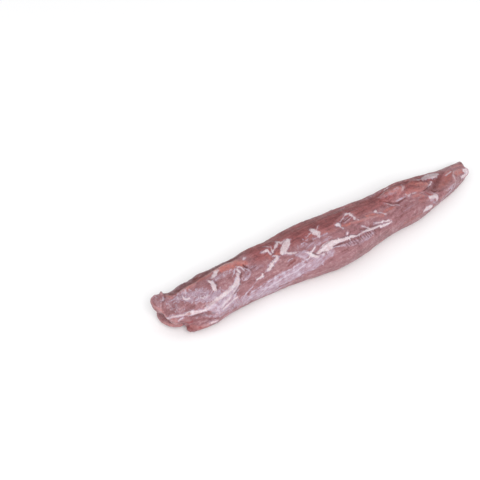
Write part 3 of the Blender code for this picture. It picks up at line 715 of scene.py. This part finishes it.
def write_attribute(mesh, name, values):
    kind, field = ("FLOAT_VECTOR", "vector") if values.ndim == 2 else ("FLOAT", "value")
    made = mesh.attributes.new(name, kind, "POINT")
    made.data.foreach_set(field, values.astype(np.float32).ravel())


def paint_layers(skin):
    """Lays every stroke. Returns the layers by name and the height of the surface's details in mm."""
    count = len(skin.points)
    bends, nicks = EDGE_SIZES
    edge = Edge(skin.noise(bends, 3.0) + NICKS * skin.noise(nicks, 8.0),
                1 + PATCHY * skin.noise(PATCH_SIZE, 21.0))
    layers = {name: np.zeros(count) for name in ("fat", "silver", "salmon", "blood", "shade")}
    raised, sunk = np.zeros(count), np.zeros(count)

    def lay(find, fat, silver, **others):
        for name, marks in (("fat", fat), ("silver", halos(fat)), ("silver", silver), *others.items()):
            paint(skin, marks, find, layers[name], raised, edge)

    lay(skin.at_pixel, FAT, SILVER, salmon=SALMON, blood=BLOOD)
    far_fat, far_silver, far_salmon = hidden_strokes()
    lay(skin.at_place, far_fat, far_silver, salmon=far_salmon, shade=FAR_SHADE)
    paint(skin, MEAT, skin.at_pixel, np.zeros(count), raised, edge)
    for marks in (SHADE, comb_notches()):
        paint(skin, marks, skin.at_pixel, layers["shade"], sunk, edge)
    return layers, raised + sunk


def come_and_go(values, come, go):
    """0 to 1 over the first pair of values, and back to 0 over the second."""
    return ramp(values, *come) * ramp(values, *go)


def relief(skin, layers, strokes, fibre):
    """The height of the finished surface above the smooth one, in mm."""
    lumps = sum(high * skin.noise(size, 5.0) for size, high in LUMPS)
    crumples = sum(high * skin.noise(size, 9.0) for size, high in CRUMPLES)
    lumps += crumples * ramp(layers["silver"] + layers["salmon"], *CRUMPLED)
    grain = GRAIN_HEIGHT * skin.noise(1.0, 2.0, fibre)
    bend_size, bend_reach = WRINKLE_BEND
    bend = np.stack([skin.noise(bend_size, seed) for seed in (11.0, 12.0, 13.0)], axis=-1)
    folds = np.abs(skin.noise(WRINKLE_SIZE, 1.0, skin.points + bend_reach * bend))
    layers["wrinkle"] = (ramp(folds, WRINKLE_LINE, 0) * come_and_go(layers["silver"], *WRINKLED_SKIN)
                         * ramp(skin.along, *WRINKLED_HEAD))
    free = ramp(skin.points[:, 2], *BARE_BASE)
    return (lumps + grain + WRINKLE_LIFT * layers["wrinkle"]) * free + strokes


def hollows(skin):
    """How hollow (positive) or raised (negative) the surface is at each vertex, from -1 to 1."""
    mean = skin.points
    for _ in range(HOLLOW_ROUNDS):
        mean = skin.mean_of_neighbours(mean)
    out = ((mean - skin.points) * skin.vectors("normal")).sum(1)
    return np.clip(out / HOLLOW_DEPTH, -1, 1)


# The lights are brighter than the photograph's, so the pigments take this share of its colours.
PIGMENT = 0.86


def linear(*colour):
    """A colour as the photograph shows it, in sRGB from 0 to 255, as the linear RGBA of a shader."""
    parts = [c / 255 for c in colour]
    return (*(PIGMENT * (p / 12.92 if p <= 0.04045 else ((p + 0.055) / 1.055) ** 2.4) for p in parts), 1)


FLESH_DARK = linear(122, 72, 75)
FLESH_MIDDLE = linear(158, 108, 114)
FLESH_LIGHT = linear(188, 146, 152)
FLESH_TOP = linear(168, 93, 92)
# Painted light: the lighter pink that raised places and ridges are mixed towards.
PAINTED_RIDGE_LIGHT = linear(206, 164, 166)
SALMON_COLOUR = linear(197, 120, 113)
SILVER_THIN = linear(174, 146, 163)
SILVER_THICK = linear(212, 196, 212)
FAT_COLOUR = linear(232, 219, 225)
FAT_PINK = linear(212, 188, 194)
BLOOD_COLOUR = linear(150, 52, 50)
SHADE_COLOUR = linear(112, 66, 66)


class Nodes:
    """Short calls for the nodes that the materials use."""

    def __init__(self, name):
        self.material = bpy.data.materials.new(name)
        self.material.use_nodes = True
        self.tree = self.material.node_tree

    def put(self, node, inputs):
        """Gives a node's inputs, by name or number, a link or a fixed value."""
        for key, value in inputs.items():
            if isinstance(value, bpy.types.NodeSocket):
                self.tree.links.new(value, node.inputs[key])
            else:
                node.inputs[key].default_value = value

    def node(self, kind, inputs, **settings):
        made = self.tree.nodes.new("ShaderNode" + kind)
        for key, value in settings.items():
            setattr(made, key, value)
        self.put(made, inputs)
        return made

    def dress(self, inputs):
        self.put(self.tree.nodes["Principled BSDF"], inputs)

    def attribute(self, name, output="Fac"):
        return self.node("Attribute", {}, attribute_name=name).outputs[output]

    def noise(self, vector, scale, detail=3.0, roughness=0.55, distortion=0.0):
        inputs = {"Vector": vector, "Scale": scale, "Detail": detail, "Roughness": roughness,
                  "Distortion": distortion}
        return self.node("TexNoise", inputs).outputs["Fac"]

    def math(self, operation, *values):
        return self.node("Math", dict(enumerate(values)), operation=operation).outputs[0]

    def times(self, a, b):
        return self.math("MULTIPLY", a, b)

    def squiggles(self, vector, scale, wide):
        """Thin curly lines: where a noise crosses its middle value."""
        value = self.noise(vector, scale, 2.0, 0.5, 1.2)
        return self.span(self.math("ABSOLUTE", self.math("SUBTRACT", value, 0.5)), wide, 0.0)

    def total(self, *parts, offset=0.0):
        """The sum of the sockets, each times its share, plus the offset."""
        result = offset
        for socket, share in parts:
            result = self.math("MULTIPLY_ADD", socket, share, result)
        return result

    def span(self, value, low, high, to_low=0.0, to_high=1.0):
        """value from low to high becomes to_low to to_high, with soft ends."""
        inputs = {"Value": value, "From Min": low, "From Max": high, "To Min": to_low, "To Max": to_high}
        return self.node("MapRange", inputs, interpolation_type="SMOOTHSTEP").outputs["Result"]

    def mix(self, share, a, b):
        return self.node("Mix", {0: share, 6: a, 7: b}, data_type="RGBA").outputs[2]

    def bump(self, height, strength, distance):
        inputs = {"Height": height, "Strength": strength, "Distance": distance}
        return self.node("Bump", inputs).outputs["Normal"]


def flesh_material():
    """Moist raw pork: fibrous flesh, under it salmon where it is torn, and over it silver skin and fat."""
    n = Nodes("raw_pork")
    fibre, veil = n.attribute("fibre", "Vector"), n.attribute("veil", "Vector")
    place = n.attribute("place", "Vector")
    silver, fat = n.attribute("silver"), n.attribute("fat")
    top, shade, hollow = n.attribute("top"), n.attribute("shade"), n.attribute("hollow")
    strands = n.noise(fibre, 1.0, 4.0, 0.6)
    fine = n.noise(fibre, 2.8, 3.0, 0.65)
    mottle = n.noise(place, 0.11, 3.0)
    blotch = n.noise(place, 0.42, 3.0, 0.6, 0.6)
    specks = n.noise(place, 0.9, 2.0)
    pores = n.noise(place, 1.1, 3.0, 0.7)

    tone = n.total((strands, 0.24), (mottle, 0.2), (blotch, 0.22), (fine, 0.2), (pores, 0.14))
    flesh = n.mix(n.span(tone, 0.4, 0.5), FLESH_DARK, FLESH_MIDDLE)
    flesh = n.mix(n.span(tone, 0.5, 0.6), flesh, FLESH_LIGHT)
    # The top, darker and redder: partly the flesh's own colour, partly painted shade where the top turns
    # from the light.
    flesh = n.mix(top, flesh, n.mix(n.span(tone, 0.42, 0.57), FLESH_DARK, FLESH_TOP))
    uneven = n.span(n.total((blotch, 0.5), (pores, 0.5)), 0.38, 0.58, 0.3, 1.0)
    flesh = n.mix(n.times(n.attribute("salmon"), uneven), flesh, SALMON_COLOUR)

    streaks = n.total((n.noise(veil, 1.2, 4.0, 0.7), 0.42), (n.noise(veil, 3.0, 3.0, 0.65), 0.4),
                      (n.noise(place, 0.7, 3.0, 0.6), 0.18))
    cover = n.total((silver, 1.1), (streaks, 3.5), offset=-1.79)
    cover = n.times(n.span(cover, 0.2, 1.0), n.span(silver, 0.02, 0.2))
    thick = n.span(n.total((silver, 1.0), (streaks, 1.4), offset=-0.7), 0.75, 1.2)
    colour = n.mix(n.times(cover, 0.85), flesh, n.mix(thick, SILVER_THIN, SILVER_THICK))
    hairs = n.times(n.squiggles(place, 0.3, 0.028), n.span(n.noise(place, 0.16, 2.0), 0.42, 0.58))
    hairs = n.math("MAXIMUM", hairs, n.squiggles(veil, 1.1, 0.022))
    hairs = n.times(hairs, n.span(silver, 0.25, 0.7, 0.0, 0.9))
    colour = n.mix(hairs, colour, SILVER_THICK)
    colour = n.mix(n.times(n.attribute("wrinkle"), 0.8), colour, SILVER_THICK)

    fat_share = n.span(n.total((fat, 1.0), (specks, 0.5), offset=-0.25), 0.2, 0.82)
    pink_share = n.span(n.total((mottle, 0.4), (specks, 0.6)), 0.4, 0.62)
    colour = n.mix(fat_share, colour, n.mix(pink_share, FAT_COLOUR, FAT_PINK))
    colour = n.mix(n.times(n.attribute("blood"), n.span(specks, 0.3, 0.6, 0.5, 0.9)), colour, BLOOD_COLOUR)
    # Painted light and shade from the relief: raised places turn lighter and hollows darker, as the light
    # would fall on them.
    colour = n.mix(n.span(hollow, -0.1, -1.0, 0.0, 0.24), colour, PAINTED_RIDGE_LIGHT)
    colour = n.mix(n.span(hollow, 0.1, 1.0, 0.0, 0.25), colour, SHADE_COLOUR)
    colour = n.mix(n.times(shade, 0.85), colour, SHADE_COLOUR)

    wet = n.noise(place, 0.28, 3.0)
    # The top and the painted shade, which get less gloss and coat.
    top_and_shade = n.total((top, 1.0), (shade, 1.0))
    height = n.total((fine, 0.6), (strands, 0.5), (blotch, 0.7), (pores, 0.5))
    normal = n.bump(height, 0.9, 0.0007)
    n.dress({
        "Base Color": colour,
        "Roughness": n.span(n.total((wet, 0.7), (fine, 0.3)), 0.4, 0.6, 0.3, 0.56),
        "Specular IOR Level": n.span(top_and_shade, 0.1, 1.0, 0.26, 0.06),
        "Subsurface Weight": 0.15,
        "Subsurface Radius": (1.0, 0.38, 0.28),
        "Subsurface Scale": 0.0012,
        "Normal": normal,
        "Coat Normal": normal,
        "Coat Weight": n.times(n.span(top_and_shade, 0.1, 1.0, 0.5, 0.1), n.span(wet, 0.4, 0.6, 0.3, 1.0)),
        "Coat Roughness": 0.16,
        "Coat IOR": 1.36,
    })
    return n.material


def dress_flesh():
    """The loin's one piece: fine mesh, relief, painted layers and material."""
    flesh = dense_copy(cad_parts["tenderloin"])
    skin = Skin(flesh.data)
    skin.smooth()
    skin.measure()
    fibre = twisted(skin, FLESH_SLANT, GRAIN_LENGTH, GRAIN_WIDTH)
    veil = twisted(skin, SKIN_SLANT, VEIL_LENGTH, VEIL_WIDTH)
    place = skin.points.copy()
    layers, strokes = paint_layers(skin)
    height = relief(skin, layers, strokes, fibre)
    # The top's share: its own redder colour together with painted shade where it turns from the light.
    layers["top"] = (TOP_COVER * come_and_go(skin.around, *TOP_AROUND)
                     * come_and_go(skin.along, *TOP_ALONG))
    skin.points += skin.normals * height[:, None]
    skin.write_points()
    layers["hollow"] = hollows(skin)
    layers |= {"fibre": fibre, "veil": veil, "place": place}
    for name, values in layers.items():
        write_attribute(flesh.data, name, values)
    flesh.data.materials.clear()
    flesh.data.materials.append(flesh_material())
    flesh.data.shade_smooth()
    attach(flesh, "root")
    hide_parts("tenderloin")


FLOOR_SIZE = 3.0  # metres
FLOOR_SEGMENTS = 96
FLOOR_DROP = 0.0003
FLOOR_COLOUR = (0.93, 0.93, 0.935, 1)
WORLD_STRENGTH = 0.74
LIGHTS = {  # azimuth, elevation, distance in metres, size in metres, watts
    "key": (-20, 46, 3.0, 1.9, 52),
    "fill": (-75, 28, 2.4, 1.4, 8),
}


def make_floor():
    turns = (2 * math.pi * k / FLOOR_SEGMENTS for k in range(FLOOR_SEGMENTS))
    corners = [(FLOOR_SIZE * math.cos(t), FLOOR_SIZE * math.sin(t), -FLOOR_DROP) for t in turns]
    mesh = bpy.data.meshes.new("floor")
    mesh.from_pydata(corners, [], [tuple(range(FLOOR_SEGMENTS))])
    floor = add_object("floor", mesh)
    n = Nodes("pale_floor")
    n.dress({"Base Color": FLOOR_COLOUR, "Roughness": 0.9, "Specular IOR Level": 0.1})
    mesh.materials.append(n.material)


def make_lights():
    world = bpy.data.worlds.new("studio")
    world.use_nodes = True
    background = world.node_tree.nodes["Background"]
    background.inputs["Color"].default_value = (1, 1, 1, 1)
    background.inputs["Strength"].default_value = WORLD_STRENGTH
    bpy.context.scene.world = world
    for name, (azimuth, elevation, distance, size, watts) in LIGHTS.items():
        light = bpy.data.lights.new(name, "AREA")
        light.shape = "DISK"
        light.size = size
        light.energy = watts
        lamp = add_object(name, light)
        towards = direction(azimuth, elevation)
        lamp.location = towards * distance
        lamp.rotation_euler = towards.to_track_quat("Z", "Y").to_euler()


def make_camera():
    photo = Photo()
    lens = bpy.data.cameras.new("camera")
    lens.lens = LENS
    lens.sensor_width = SENSOR
    lens.clip_start = 0.01
    camera = add_object("camera", lens)
    axes = Matrix((photo.right, photo.up, photo.back)).transposed().to_4x4()
    camera.matrix_world = Matrix.Translation(photo.eye * MM) @ axes
    bpy.context.scene.camera = camera


dress_flesh()
make_floor()
make_lights()
make_camera()
bpy.context.scene.view_settings.view_transform = "Standard"
